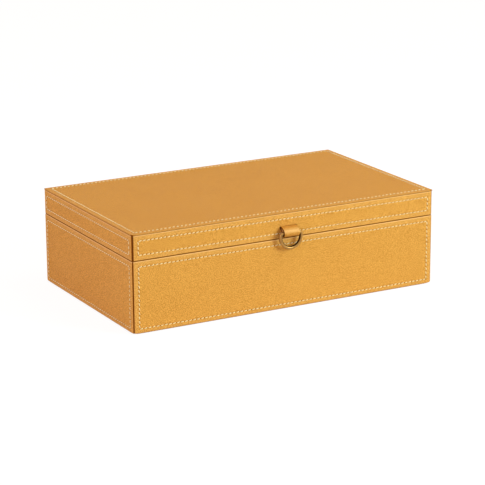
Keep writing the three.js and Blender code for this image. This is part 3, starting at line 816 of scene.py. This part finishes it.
def base_section(low, high, inner_depth, turn_in):
    """Under the box, round the foot, up the wall, over the rim and down into the inside."""
    size = sizes()
    step = size.pitch
    core_low = (size.leather, low + size.leather - size.running_gap)
    core = (core_low, (inner_depth - size.lining_round - size.glue_gap, high - size.rim_leather))
    section = Section(core)
    foot, rim, inner = size.foot_round, size.rim_round, size.rim_inner_round
    section.run((size.turn_under, low), (foot, low), (0, -1), step / 2)
    section.bend((foot, low + foot), foot, -QUARTER, -2 * QUARTER, steps=10)
    rows = (low + size.foot_row, high - size.base_rim_row)
    section.run((0, low + foot), (0, high - rim - size.rub), (-1, 0), step, rows)
    section.run((0, high - rim - size.rub), (0, high - rim), (-1, 0), step)
    section.bend((rim, high - rim), rim, 2 * QUARTER, QUARTER, steps=8)
    section.run((rim, high), (inner_depth - inner, high), (0, 1), step / 2)
    section.bend((inner_depth - inner, high - inner), inner, QUARTER, 0)
    section.run((inner_depth, high - inner), (inner_depth, turn_in), (1, 0), step / 2)
    return section, rows


def lid_section(low, high, inner_depth, turn_in):
    """Down the inside, under the rim, up the wall and over its head."""
    size = sizes()
    step = size.pitch
    core_low = (size.leather, low + size.rim_leather)
    core = (core_low, (inner_depth - size.lining_round - size.glue_gap, high))
    section = Section(core)
    rim, inner, head = size.rim_round, size.rim_inner_round, size.head_round
    section.run((inner_depth, turn_in), (inner_depth, low + inner), (1, 0), step / 2)
    section.bend((inner_depth - inner, low + inner), inner, 0, -QUARTER)
    section.run((inner_depth - inner, low), (rim, low), (0, -1), step / 2)
    section.bend((rim, low + rim), rim, -QUARTER, -2 * QUARTER, steps=8)
    rows = (low + size.lid_rim_row, high - size.head_row)
    section.run((0, low + rim), (0, high - head - size.rub), (-1, 0), step / 2, rows)
    section.run((0, high - head - size.rub), (0, high - head), (-1, 0), step)
    section.bend((head, high - head), head, 2 * QUARTER, QUARTER, steps=6)
    section.run((head, high), (size.leather - size.glue_gap, high), (0, 1), step)
    return section, rows


def wall_leather(half, side, seed):
    """One wrapped leather panel of the base or the lid, with its stitching."""
    size = sizes()
    low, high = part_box(f"{half}_front_leather")
    lining_low, lining_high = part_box(f"{half}_front_lining")
    inner_depth = high.y + DEPTH / 2
    if half == "base":
        turn_in = lining_high.z + size.glue_gap
        section, levels = base_section(low.z, high.z, inner_depth, turn_in)
        seam, corner, start = size.base_seam, size.base_corner, 0.5
        edge = high.z - size.rim_round
    else:
        turn_in = lining_low.z - size.glue_gap
        section, levels = lid_section(low.z, high.z, inner_depth, turn_in)
        seam, corner, start = size.lid_seam, size.lid_corner, 0.3
        edge = high.z - size.head_round
    span = wall_length(side)
    rows = Rows(span / 2 - size.corner_row, *levels)
    columns = wall_columns(span, seam, corner, size.corner_row)
    relief = panel_relief(rows, seed)
    verts, faces, turned, point = wrap_wall(section, span, seam, corner, columns, relief)
    if half == "base":
        press_corners(verts, span, low.z)
    placing = wall_placing(side)
    burnished, rubbed = dark_edges_and_highlights(turned, np.array(section.facing)[point], edge - verts[:, 2], start)
    piece = new_piece(f"{half}_{side}_panel", half, "leather", verts, faces, placing,
                      f"{half}_{side}_leather", burnished=burnished, rubbed=rubbed)
    if side == "back":
        for hinge in HINGES:
            cut_leaf(piece, half, hinge)
    if (half, side) == ("lid", "front"):
        cut_slit(piece)
    dress_panel(piece, f"{half}_{side}", half, rows, placing @ UPRIGHT, seed)


def dark_edges_and_highlights(turned, facing, below, start):
    """How dark each vertex of a wall panel is, and how strong its painted highlight is. The dark is
    edge paint on the mitred ends, and painted shade on the faces that look up or down, such as the
    rims at the parting line. The painted highlight pales the outward bends just below an upper
    edge.
    turned goes from 0 on the face to 1.5 in the mitre, facing tells its way in and up, below is its
    distance from the top of the face, and start is the turn from which the ends are dark."""
    reach, steep, end_share, rim_share = 0.35, 2, 0.74, 0.7
    ends = end_share * np.clip((turned - start) / reach, 0, 1)
    # Painted shade on the faces that look up or down, which darkens the parting line
    rims = np.clip(steep * (np.abs(facing[:, 1]) - 1) + 1, 0, 1)
    # Painted highlight on the outward bends just below an upper edge
    out = np.clip(-steep * facing[:, 0], 0, 1)
    rubbed = out * np.clip(1 - below / sizes().rub, 0, 1)
    return np.maximum(ends, rim_share * rims), rubbed * (1 - ends / end_share) * (1 - rims)


def press_corners(verts, span, low):
    """Rounds the foot of a base panel where it is pressed flat at the box's corners."""
    size = sizes()
    thick = size.leather - size.running_gap
    near = np.clip(1 - (span / 2 - verts[:, 1] - np.abs(verts[:, 0])) / size.corner_row, 0, 1) ** 2
    verts[:, 2] += size.press * near * np.clip(1 - (verts[:, 2] - low) / thick, 0, 1)


def cut_leaf(piece, half, hinge):
    """The recess in a rim that a hinge leaf lies in."""
    size = sizes()
    low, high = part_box(f"hinge_{hinge}_{half}_leaf")
    rim_low, rim_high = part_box(f"{half}_back_leather")
    rim = rim_high.z if half == "base" else rim_low.z
    gap, thick = size.running_gap, size.leaf + size.running_gap
    cut(piece, (low.x - gap, low.y - gap, rim - thick),
        (high.x + gap, rim_high.y + thick, rim + thick))


def slit_height():
    """The slit's middle, which the strap's two layers go through face to face."""
    return TAB_HIGH.z - sizes().tail_rise


def cut_slit(piece):
    """The slit that the tab comes out of."""
    size = sizes()
    end_share = 3
    gap = end_share * size.running_gap
    middle, half = slit_height(), size.strap + size.running_gap
    front = -DEPTH / 2
    cut(piece, (TAB_LOW.x - gap, front - half, middle - half),
        (TAB_HIGH.x + gap, front + size.leather + half, middle + half))


def rim_of(at, steps):
    """The vertices round a grid in order, and the way out from each. A corner has several ways."""
    sides = ((at[0, :-1], 3), (at[:-1, -1], 0), (at[-1, :0:-1], 1), (at[:0:-1, 0], 2))
    rim, ways = [], []
    for line, quarter in sides:
        end = quarter * QUARTER
        for i, vert in enumerate(line):
            for angle in np.linspace(end - QUARTER, end, steps) if i == 0 else (end,):
                rim.append(vert)
                ways.append((math.cos(angle), math.sin(angle)))
    return np.array(rim), np.array(ways)


def plate(thick, edge_round, corner, x_stops, y_stops, relief):
    """A flat sheet with rounded edges and corners, its upper face at z = 0.
    Returns vertices, faces and how far each vertex is turned under."""
    steps = 5
    x, y = np.meshgrid(x_stops, y_stops)
    top = np.column_stack((x.ravel(), y.ravel(), relief(x, y).ravel()))
    at = np.arange(x.size).reshape(x.shape)
    faces = grid_faces(at)
    rim, ways = rim_of(at, steps)
    flat = corner - edge_round
    turns = np.linspace(0, QUARTER, steps)
    profile = [(flat + edge_round * math.sin(t), -edge_round * (1 - math.cos(t)), t) for t in turns]
    profile += [(out, -thick - down, 2 * QUARTER - t) for out, down, t in reversed(profile)]
    profile.append((0, -thick, 2 * QUARTER))
    verts, edge = [top], [np.zeros(len(top))]
    before = rim
    for out, down, turn in profile:
        level = down + max(0, math.cos(turn)) * top[rim, 2]
        now = sum(map(len, verts)) + np.arange(len(rim))
        verts.append(np.column_stack((top[rim, :2] + ways * out, level)))
        edge.append(np.full(len(rim), turn / QUARTER))
        after, behind = np.roll(now, -1), np.roll(before, -1)
        faces += np.stack((before, now, after, behind), -1).tolist()
        before = now
    faces.append(tuple(before[::-1]))
    return np.vstack(verts), faces, np.concatenate(edge)


def top_leather(seed):
    """The lid's top panel, one flat sheet with its stitching."""
    size = sizes()
    dark_share, corner_share, reach = 0.2, 1.4, 0.4
    middle = (TOP_LOW + TOP_HIGH) / 2
    placing = Matrix.Translation((middle.x, middle.y, TOP_HIGH.z))
    half_x, half_y = WIDTH / 2, DEPTH / 2
    row_x, row_y = half_x - size.top_row, half_y - size.top_row
    rows = Rows(row_x, -row_y, row_y)
    inner_x, inner_y = half_x - size.top_corner, half_y - size.top_corner
    x_stops = stops(-inner_x, inner_x, size.pitch, (-row_x, row_x))
    y_stops = stops(-inner_y, inner_y, size.pitch, (-row_y, row_y))
    thick = TOP_HIGH.z - TOP_LOW.z
    relief = panel_relief(rows, seed)
    verts, faces, turned = plate(thick, size.top_round, size.top_corner, x_stops, y_stops, relief)
    inset_x, inset_y = half_x - np.abs(verts[:, 0]), half_y - np.abs(verts[:, 1])
    lower = np.clip((turned - 1) / reach, 0, 1)
    near_edge = np.clip(1 - np.minimum(inset_x, inset_y) / (2 * size.rub), 0, 1)
    near_corner = np.clip(corner_share - np.hypot(inset_x, inset_y) / size.top_corner, 0, 1)
    # Edge paint darkens the top panel's upper edge a little, and painted shade fills its corners
    # where three panels meet. The lower half of its edge gets a painted highlight
    burnished = np.maximum(dark_share * near_edge * (1 - lower), near_corner)
    piece = new_piece("lid_top_panel", "lid", "leather", verts, faces, placing, "lid_top_leather",
                      burnished=burnished, rubbed=lower * (turned < 2))
    dress_panel(piece, "lid_top", "lid", rows, placing, seed)


# Suede and felt

def soft_relief(half_x, half_y, seed):
    """A sheet that is a little fuller in its middle than at its glued edges."""
    size = sizes()
    wave_share = 0.4
    edge = 2 * size.pitch
    waves = slow_waves(seed, count=5, lowest=40, highest=140)

    def height(x, y):
        away = np.minimum(half_x - np.abs(x), half_y - np.abs(y))
        inner = np.clip(away / edge, 0, 1)
        return size.swell * (np.sqrt(inner) - 1 + wave_share * waves(x, y) * inner)

    return height


def wall_lining(half, side):
    """The suede on one wall, cut square at the top and the bottom and mitred at the ends."""
    size = sizes()
    low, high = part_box(f"{half}_front_lining")
    outer, inner = low.y + DEPTH / 2, high.y + DEPTH / 2
    rounding, step = size.lining_round, size.pitch
    section = Section(((outer, low.z), (outer, high.z)))
    section.run((outer + rounding, high.z), (inner - rounding, high.z), (0, 1), step)
    section.bend((inner - rounding, high.z - rounding), rounding, QUARTER, 0, steps=5)
    section.run((inner, high.z - rounding), (inner, low.z + rounding), (1, 0), step)
    section.bend((inner - rounding, low.z + rounding), rounding, 0, -QUARTER, steps=5)
    section.run((inner - rounding, low.z), (outer + rounding, low.z), (0, -1), step)
    span = wall_length(side)
    columns = wall_columns(span, size.base_seam, rounding, size.corner_row)
    verts, faces, _, _ = wrap_wall(section, span, size.base_seam, rounding, columns,
                                   lambda x, z: 0 * x)
    piece = new_piece(f"{half}_{side}_suede", half, "suede", verts, faces, wall_placing(side),
                      f"{half}_{side}_lining")


def flat_sheet(name, node, body, slot, edge_round, corner, up, seed):
    """A lining or felt that lies flat, with its soft face up or down."""
    size = sizes()
    low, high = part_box(node)
    middle, extent = (low + high) / 2, high - low
    half_x, half_y = extent.x / 2, extent.y / 2
    inner_x, inner_y = half_x - corner, half_y - corner
    x_stops = spaced(-inner_x, inner_x, 2 * size.pitch)
    y_stops = spaced(-inner_y, inner_y, 2 * size.pitch)
    relief = soft_relief(half_x, half_y, seed)
    thick = extent.z - size.swell
    verts, faces, _ = plate(thick, edge_round, corner, x_stops, y_stops, relief)
    crest = high.z - size.swell if up else low.z + size.swell
    placing = Matrix.Translation((middle.x, middle.y, crest))
    if not up:
        placing = placing @ Matrix.Rotation(math.pi, 4, "X")
    piece = new_piece(name, body, slot, verts, faces, placing, node)


# The ring and its tab

def sweep(path, side, profile):
    """Runs a closed profile along a path that lies in a plane square to side."""
    path, side = np.array(path), np.array(side)
    ahead = np.gradient(path, axis=0)
    ahead /= np.linalg.norm(ahead, axis=1)[:, None]
    out = np.cross(side, ahead)
    profile = np.array(profile)
    verts = path[:, None] + profile[None, :, :1] * side + profile[None, :, 1:] * out[:, None]
    at = np.arange(len(path) * len(profile)).reshape(len(path), len(profile))
    return verts.reshape(-1, 3), tube_faces(at)


def arc(centre, radius, start, end, steps):
    """Points round a centre in a plane, from one angle to another."""
    return [(centre[0] + radius * math.cos(a), centre[1] + radius * math.sin(a))
            for a in np.linspace(start, end, steps)]


def curve(start, first, second, end, steps):
    """Points of a Bezier curve in a plane."""
    corners = np.array((start, first, second, end))
    shares = [((1 - t) ** 3, 3 * t * (1 - t) ** 2, 3 * t * t * (1 - t), t**3)
              for t in np.linspace(0, 1, steps)]
    return [tuple(point) for point in np.array(shares) @ corners]


def bar_place():
    """The ring's straight bar, as a depth from the lid's face and a height."""
    half_wire = sizes().wire / 2
    return (RING_LOW.y + RING_HIGH.y) / 2 + DEPTH / 2, RING_HIGH.z - half_wire


def tab_path():
    """The middle of the strap's thickness: out of the slit, round the bar and back."""
    size = sizes()
    half = size.strap / 2
    slit = slit_height()
    bar_depth, bar = bar_place()
    loop = size.wire / 2 + size.bar_gap + half
    front, rear = bar_depth - loop, bar_depth + loop
    head, sole = slit + half, slit - half
    outer_tail = size.leather + size.glue_gap + half
    inner_tail = outer_tail + size.strap
    top = TAB_HIGH.z
    bend = size.strap
    front_bend, rear_bend = (front, (head + bar) / 2), (rear, (sole + bar) / 2)
    path = [(outer_tail, top), (outer_tail, head + bend)]
    path += arc((outer_tail - bend, head + bend), bend, 0, -QUARTER, steps=6)[1:]
    path += curve((0, head), (front / 2, head), front_bend, (front, bar), steps=14)[1:]
    path += arc((bar_depth, bar), loop, math.pi, 2 * math.pi, steps=18)[1:]
    path += curve((rear, bar), rear_bend, (rear / 2, sole), (0, sole), steps=10)[1:]
    path += arc((inner_tail - bend, sole + bend), bend, -QUARTER, 0, steps=6)
    return [*path, (inner_tail, top)]


def strap_profile(width, thick, rounding):
    """A flat strap's section with its four edges rounded."""
    across, up = width / 2 - rounding, thick / 2 - rounding
    corners = ((across, up, 0), (-across, up, 1), (-across, -up, 2), (across, -up, 3))
    line = []
    for x, y, quarter in corners:
        line += arc((x, y), rounding, quarter * QUARTER, (quarter + 1) * QUARTER, steps=5)
    return line


def pull_tab():
    """The strap, dark along its cut sides, with a painted highlight where the ring's bar bends it
    and painted shade over the rest of it.
    """
    size = sizes()
    loop_share, toast_share, highlight_share, thick_share = 0.75, 0.2, 0.8, 0.97
    side_slope, side_share = 2, 0.6
    front = -DEPTH / 2
    path = [(0, front + depth, height) for depth, height in tab_path()]
    width = TAB_HIGH.x - TAB_LOW.x
    rounding = size.strap / 3
    profile = strap_profile(width, thick_share * size.strap, rounding)
    verts, faces = sweep(path, (1, 0, 0), profile)
    onto_side = (np.abs(verts[:, 0]) - width / 2 + rounding) / rounding
    sides = np.clip(side_slope * onto_side - side_share, 0, 1)
    # A painted highlight across the strap where the bar bends it, and painted shade over the rest
    rubbed_at = bar_place()[1] + loop_share * size.wire
    rubbed = highlight_share * hump(verts[:, 2], rubbed_at, size.wire / 2)
    burnished = np.maximum(sides, toast_share * (1 - rubbed))
    piece = new_piece("ring_tab", "lid", "leather", verts, faces, Matrix.Identity(4), "pull_tab",
                      burnished=burnished, rubbed=rubbed)
    layer = piece.data.uv_layers.new(name="stitch_line")
    layer.data.foreach_set("uv", np.full(2 * len(piece.data.loops), -FAR))


def ring_path():
    """The middle of the ring's wire in width and height, with the straight bar at the top."""
    size = sizes()
    bar_steps, corner_steps, hoop_steps = 8, 10, 64
    half_wire = size.wire / 2
    bar = RING_HIGH.z - half_wire
    radius = RING_HIGH.x - half_wire
    centre = RING_LOW.z + half_wire + radius
    corner = size.ring_corner
    corner_z = bar - corner
    corner_x = math.sqrt((radius - corner) ** 2 - (centre - corner_z) ** 2)
    turn = math.atan2(corner_z - centre, corner_x)
    split = size.running_gap / 2
    path = [(x, bar) for x in np.linspace(split, corner_x, bar_steps)]
    path += arc((corner_x, corner_z), corner, QUARTER, turn, corner_steps)[1:]
    path += arc((0, centre), radius, turn, -math.pi - turn, hoop_steps)[1:]
    path += arc((-corner_x, corner_z), corner, math.pi - turn, QUARTER, corner_steps)[1:]
    return [*path, *((x, bar) for x in np.linspace(-corner_x, -split, bar_steps)[1:])]


def ring_dark_reflection(profile):
    """How dark the wire is round its section. Its rear and inner sides are painted dark as a
    painted reflection, while its front and its outer side stay bright.
    """
    front_share, out_share, start, reach = 0.8, 0.6, 0.25, 0.35
    back, inwards = np.array(profile).T / (sizes().wire / 2)
    facing_front = -front_share * back - out_share * inwards
    return 1 - np.clip((facing_front - start) / reach, 0, 1)


def pull_ring():
    sides = 24
    depth = (RING_LOW.y + RING_HIGH.y) / 2
    path = [(x, depth, z) for x, z in ring_path()]
    profile = arc((0, 0), sizes().wire / 2, 0, 2 * math.pi, sides + 1)[:-1]
    verts, faces = sweep(path, (0, 1, 0), profile)
    # The wire carries the mask of its painted dark reflection
    new_piece("d_ring", "ring", "brass", verts, faces, Matrix.Identity(4), "pull_ring",
              tarnished=np.tile(ring_dark_reflection(profile), len(path)))


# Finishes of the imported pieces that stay

def finish_node(name, slot):
    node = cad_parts[name]
    node.data.materials.clear()
    node.data.materials.append(finish(slot))
    return node


def ease_edges(node, width):
    """Breaks a metal piece's sharp edges with modifiers. Its own mesh stays as packed."""
    flat_angle, edge_angle = math.radians(1), math.radians(35)
    flat = node.modifiers.new("flat faces", "DECIMATE")
    flat.decimate_type = "DISSOLVE"
    flat.angle_limit = flat_angle
    bevel = node.modifiers.new("eased edges", "BEVEL")
    bevel.width = width
    bevel.segments = 2
    bevel.limit_method = "ANGLE"
    bevel.angle_limit = edge_angle
    node.data.shade_smooth()
    normals = node.modifiers.new("normals", "WEIGHTED_NORMAL")
    normals.keep_sharp = True


# The studio

# The camera, found from the seven corners of the box that the photograph shows
CAMERA_PLACE = (-1.1203, -2.0443, 0.7165)
CAMERA_TURN = math.radians(-28.855)
CAMERA_DOWN = math.radians(15.98)
CAMERA_ROLL = math.radians(-0.331)
FOCAL_PIXELS = 2058.4
PHOTO_PIXELS = 485

# Each lamp's place, width, watts and tint
LAMPS = {
    "key": ((1.99, -2.49, 1.19), 1.3, 68.5, (0.81, 1, 1)),
    "fill": ((-2.6, -0.6, 0.9), 1.4, 25.2, (0.75, 0.71, 1)),
    "overhead": ((0.55, -0.4, 1.5), 0.8, 4.5, (1, 0.98, 0.75)),
}

# The light from all round, and the floor, which is partly a white glow where the camera sees it
WORLD_TINT = (1, 0.72, 0.58)
WORLD_LEVEL = 0.5
FLOOR_HALF = 6
FLOOR_WHITE_SHARE = 0.8
FLOOR_WHITE_LEVEL = 1.15


def make_camera():
    data = bpy.data.cameras.new("camera")
    data.lens = FOCAL_PIXELS / PHOTO_PIXELS * data.sensor_width
    camera = bpy.data.objects.new("camera", data)
    bpy.context.scene.collection.objects.link(camera)
    turn = Matrix.Rotation(CAMERA_TURN, 4, "Z")
    tilt = Matrix.Rotation(QUARTER - CAMERA_DOWN, 4, "X")
    roll = Matrix.Rotation(CAMERA_ROLL, 4, "Z")
    camera.matrix_world = Matrix.Translation(CAMERA_PLACE) @ turn @ tilt @ roll
    bpy.context.scene.camera = camera


def make_lamp(name):
    """A square soft box, turned to the middle of the box."""
    place, width, watts, tint = LAMPS[name]
    data = bpy.data.lights.new(name, "AREA")
    data.size = width
    data.energy = watts
    data.color = tint
    lamp = bpy.data.objects.new(name, data)
    bpy.context.scene.collection.objects.link(lamp)
    aim = (Vector((0, 0, HEIGHT / 2)) - Vector(place)).to_track_quat("-Z", "Y")
    lamp.matrix_world = Matrix.LocRotScale(Vector(place), aim, None)


def seen(tree):
    """1 for what the camera sees, directly, in polished metal or through glass."""
    path = add(tree, "ShaderNodeLightPath").outputs
    polished = reckon(tree, "MAXIMUM", path["Is Glossy Ray"], path["Is Transmission Ray"])
    return reckon(tree, "MAXIMUM", path["Is Camera Ray"], polished)


def make_world():
    """A white backdrop, and soft light all round."""
    world = bpy.data.worlds.new("studio")
    world.use_nodes = True
    bpy.context.scene.world = world
    tree = world.node_tree
    light = tree.nodes["Background"].inputs
    shown = seen(tree)
    tree.links.new(blend_colours(tree, shown, WORLD_TINT, (1, 1, 1)), light["Color"])
    tree.links.new(reckon(tree, "MAXIMUM", shown, WORLD_LEVEL), light["Strength"])


def make_floor():
    """A pale floor that looks white and keeps part of the box's shadow."""
    mesh = bpy.data.meshes.new("floor")
    corners = [(x * FLOOR_HALF, y * FLOOR_HALF, 0) for x, y in ((-1, -1), (1, -1), (1, 1), (-1, 1))]
    mesh.from_pydata(corners, [], ((0, 1, 2, 3),))
    floor = bpy.data.objects.new("floor", mesh)
    bpy.context.scene.collection.objects.link(floor)
    paint = bpy.data.materials.new("floor")
    paint.use_nodes = True
    tree = paint.node_tree
    matt = tree.nodes["Principled BSDF"]
    matt.inputs["Base Color"].default_value = (*colours().floor, 1)
    matt.inputs["Roughness"].default_value = 1
    matt.inputs["Specular IOR Level"].default_value = 0
    glow = add(tree, "ShaderNodeEmission", {"Strength": FLOOR_WHITE_LEVEL})
    share = reckon(tree, "MULTIPLY", seen(tree), FLOOR_WHITE_SHARE)
    mix = add(tree, "ShaderNodeMixShader", {0: share, 1: matt.outputs[0], 2: glow.outputs[0]})
    tree.links.new(mix.outputs[0], tree.nodes["Material Output"].inputs["Surface"])
    mesh.materials.append(paint)


# Operators

class TrunkBoxOperator:
    bl_options = {"REGISTER", "UNDO"}


class TRUNKBOX_OT_studio(TrunkBoxOperator, bpy.types.Operator):
    """Make the white floor, the soft boxes, the world and the camera"""

    bl_idname = "trunk_box.studio"
    bl_label = "Studio"

    def execute(self, context):
        context.scene.view_settings.view_transform = "Standard"
        make_camera()
        make_world()
        make_floor()
        for name in LAMPS:
            make_lamp(name)
        return {"FINISHED"}


class TRUNKBOX_OT_wall_leather(TrunkBoxOperator, bpy.types.Operator):
    """Wrap the four walls of the base and of the lid in stitched leather"""

    bl_idname = "trunk_box.wall_leather"
    bl_label = "Wall leather"

    def execute(self, context):
        panels = [(half, side) for half in HALVES for side in WALLS]
        for seed, (half, side) in enumerate(panels):
            wall_leather(half, side, seed)
        return {"FINISHED"}


class TRUNKBOX_OT_top_leather(TrunkBoxOperator, bpy.types.Operator):
    """Lay the stitched leather panel on the lid"""

    bl_idname = "trunk_box.top_leather"
    bl_label = "Top leather"

    def execute(self, context):
        top_leather(seed=8)
        return {"FINISHED"}


class TRUNKBOX_OT_linings(TrunkBoxOperator, bpy.types.Operator):
    """Line the base and the lid with suede"""

    bl_idname = "trunk_box.linings"
    bl_label = "Suede linings"

    def execute(self, context):
        for half in HALVES:
            for side in WALLS:
                wall_lining(half, side)
        rounding = sizes().lining_round
        flat_sheet("base_floor_suede", "base_floor_lining", "base", "suede", rounding, 2 * rounding,
                   up=True, seed=21)
        flat_sheet("lid_top_suede", "lid_top_lining", "lid", "suede", rounding, 2 * rounding,
                   up=False, seed=22)
        return {"FINISHED"}


class TRUNKBOX_OT_felt(TrunkBoxOperator, bpy.types.Operator):
    """Glue the felt sheet under the base"""

    bl_idname = "trunk_box.felt"
    bl_label = "Felt underside"

    def execute(self, context):
        flat_sheet("underside_felt", "base_underside_felt", "base", "felt", sizes().lining_round,
                   sizes().ring_corner, up=False, seed=23)
        return {"FINISHED"}


class TRUNKBOX_OT_pull(TrunkBoxOperator, bpy.types.Operator):
    """Make the folded tab and the ring that hangs in it"""

    bl_idname = "trunk_box.pull"
    bl_label = "Ring and tab"

    def execute(self, context):
        pull_tab()
        pull_ring()
        return {"FINISHED"}


class TRUNKBOX_OT_boards(TrunkBoxOperator, bpy.types.Operator):
    """Give the boards their bare board finish"""

    bl_idname = "trunk_box.boards"
    bl_label = "Boards"

    def execute(self, context):
        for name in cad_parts:
            if name.endswith("_board"):
                finish_node(name, "board")
        return {"FINISHED"}


class TRUNKBOX_OT_hinges(TrunkBoxOperator, bpy.types.Operator):
    """Give the hinges and their screws antique brass with eased edges"""

    bl_idname = "trunk_box.hinges"
    bl_label = "Hinges"

    def execute(self, context):
        width = sizes().eased
        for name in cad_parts:
            if name.startswith("hinge_"):
                ease_edges(finish_node(name, "brass"), width)
        return {"FINISHED"}


STEPS = (
    TRUNKBOX_OT_studio,
    TRUNKBOX_OT_wall_leather,
    TRUNKBOX_OT_top_leather,
    TRUNKBOX_OT_linings,
    TRUNKBOX_OT_felt,
    TRUNKBOX_OT_pull,
    TRUNKBOX_OT_boards,
    TRUNKBOX_OT_hinges,
)


class TRUNKBOX_PT_panel(bpy.types.Panel):
    """Lists the box's sizes, its colours and its steps"""

    bl_idname = "TRUNKBOX_PT_panel"
    bl_label = "Leather Trunk Box"
    bl_space_type = "VIEW_3D"
    bl_region_type = "UI"
    bl_category = "Trunk Box"

    def draw(self, context):
        for group in (context.scene.trunk_box_sizes, context.scene.trunk_box_colours):
            box = self.layout.box()
            for name in group.__annotations__:
                box.prop(group, name)
        for step in STEPS:
            self.layout.operator(step.bl_idname)


CLASSES = (TrunkBoxSizes, TrunkBoxColours, *STEPS, TRUNKBOX_PT_panel)


def register():
    for item in CLASSES:
        bpy.utils.register_class(item)
    bpy.types.Scene.trunk_box_sizes = bpy.props.PointerProperty(type=TrunkBoxSizes)
    bpy.types.Scene.trunk_box_colours = bpy.props.PointerProperty(type=TrunkBoxColours)


def unregister():
    del bpy.types.Scene.trunk_box_colours
    del bpy.types.Scene.trunk_box_sizes
    for item in reversed(CLASSES):
        bpy.utils.unregister_class(item)


def main():
    register()
    for step in STEPS:
        group, name = step.bl_idname.split(".")
        getattr(getattr(bpy.ops, group), name)()


if __name__ == "__main__":
    main()
